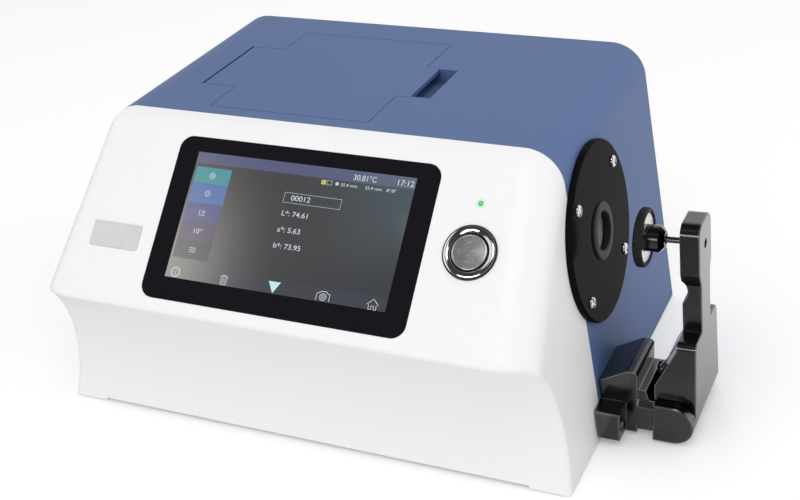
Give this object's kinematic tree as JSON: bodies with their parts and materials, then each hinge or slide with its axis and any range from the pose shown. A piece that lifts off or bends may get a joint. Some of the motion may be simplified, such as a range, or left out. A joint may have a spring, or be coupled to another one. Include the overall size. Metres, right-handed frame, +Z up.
{
  "type": "benchtop spectrophotometer",
  "caption": "Benchtop colour-measuring spectrophotometer with a sloped touch screen, a flush lid over a sample chamber and a spring-loaded sample holder at its round side port.",
  "frame": {"origin": "on the table, below the middle of the space that the instrument takes up", "axes": "+X to the operator's right, +Y to the back, +Z up"},
  "size_m": [0.4283, 0.286, 0.2],
  "materials": {
    "cover_white": "satin",
    "cover_blue": "satin",
    "screen_glass": "polished",
    "panel_grey": "satin",
    "bright_ring": "polished",
    "brushed_cap": "brushed",
    "nut_black": "matt",
    "led_green": "clear",
    "plate_metal": "satin",
    "port_black": "gloss",
    "ring_black": "satin",
    "holder_black": "black anodised",
    "rod_steel": "satin",
    "hub_black": "black anodised",
    "disc_metal": "satin",
    "pad_rubber": "matt",
    "spring_steel": "bright",
    "screw_bright": "polished",
    "screw_black": "blackened",
    "screw_steel": "satin",
    "foot_rubber": "matt",
    "sheet_grey": "powder coat",
    "socket_black": "matt",
    "socket_metal": "plated",
    "tub_black": "matt",
    "seal_rubber": "matt",
    "window_glass": "clear",
    "sphere_white": "matt",
    "stand_metal": "satin",
    "box_black": "satin",
    "board_green": "satin"
  },
  "bodies": {
    "housing": {"front_cover": "cover_white", "top_cover": "cover_blue", "display_glass": "screen_glass", "display_module": "panel_grey", "button_bezel": "bright_ring", "button_nut": "nut_black", "status_led": "led_green", "name_plate": "plate_metal", "port_plate": "port_black", "aperture_ring": "ring_black", "holder_bracket": "holder_black", "holder_pin": "rod_steel", "anchor_pin": "rod_steel", "holder_spring": "spring_steel", "port_screws": "screw_bright", "holder_screws": "screw_black", "foot_screws": "screw_steel", "cover_screws": "screw_steel", "rear_screws": "screw_steel", "serial_posts": "screw_steel", "lid_pin": "screw_steel", "feet": "foot_rubber", "base_plate": "sheet_grey", "rear_panel": "sheet_grey", "dc_inlet": "socket_black", "rocker_frame": "socket_black", "usb_socket": "socket_metal", "serial_socket": "socket_metal", "chamber_tub": "tub_black", "chamber_seal": "seal_rubber", "chamber_windows": "window_glass", "collector_lens": "window_glass", "sphere_front": "sphere_white", "sphere_rear": "sphere_white", "sphere_stand": "stand_metal", "lamp_module": "stand_metal", "lens_tube": "stand_metal", "lens_mount": "stand_metal", "optics_bench": "stand_metal", "bench_posts": "stand_metal", "board_standoffs": "stand_metal", "spectrometer_box": "box_black", "main_board": "board_green", "power_board": "board_green"},
    "lid": {"transmission_lid": "cover_blue"},
    "button": {"button_cap": "brushed_cap"},
    "rocker": {"power_rocker": "socket_black"},
    "arm": {"holder_arm": "holder_black", "plunger_rod": "rod_steel", "rod_screw": "rod_steel", "hook_pin": "rod_steel"},
    "pad": {"plunger_hub": "hub_black", "pad_disc": "disc_metal", "pad_ring": "pad_rubber"}
  },
  "joints": [
    {"name": "lid_hinge", "type": "hinge", "parent": "housing", "child": "lid", "pos_m": [-0.1422, 0.0415, 0.197], "axis": [0, -1, 0], "range_deg": [0, 90]},
    {"name": "button_press", "type": "slide", "parent": "housing", "child": "button", "axis": [0, 0.712, -0.7022], "range_m": [0, 0.0012], "stiffness_N_per_m": 900, "springref_m": -0.0006},
    {"name": "rocker_turn", "type": "hinge", "parent": "housing", "child": "rocker", "pos_m": [-0.1442, 0.1374, 0.038], "axis": [-1, 0, 0], "range_deg": [0, 14]},
    {"name": "arm_swing", "type": "hinge", "parent": "housing", "child": "arm", "pos_m": [0.2008, 0, 0.015], "axis": [0, 1, 0], "range_deg": [-9.5, 60], "stiffness_Nm_per_rad": 1.5, "deforming": ["holder_spring"]},
    {"name": "pad_tilt", "type": "hinge", "parent": "arm", "child": "pad", "pos_m": [0.18058, 0, 0.12725], "axis": [0, -1, 0], "range_deg": [-6, 6]}
  ]
}
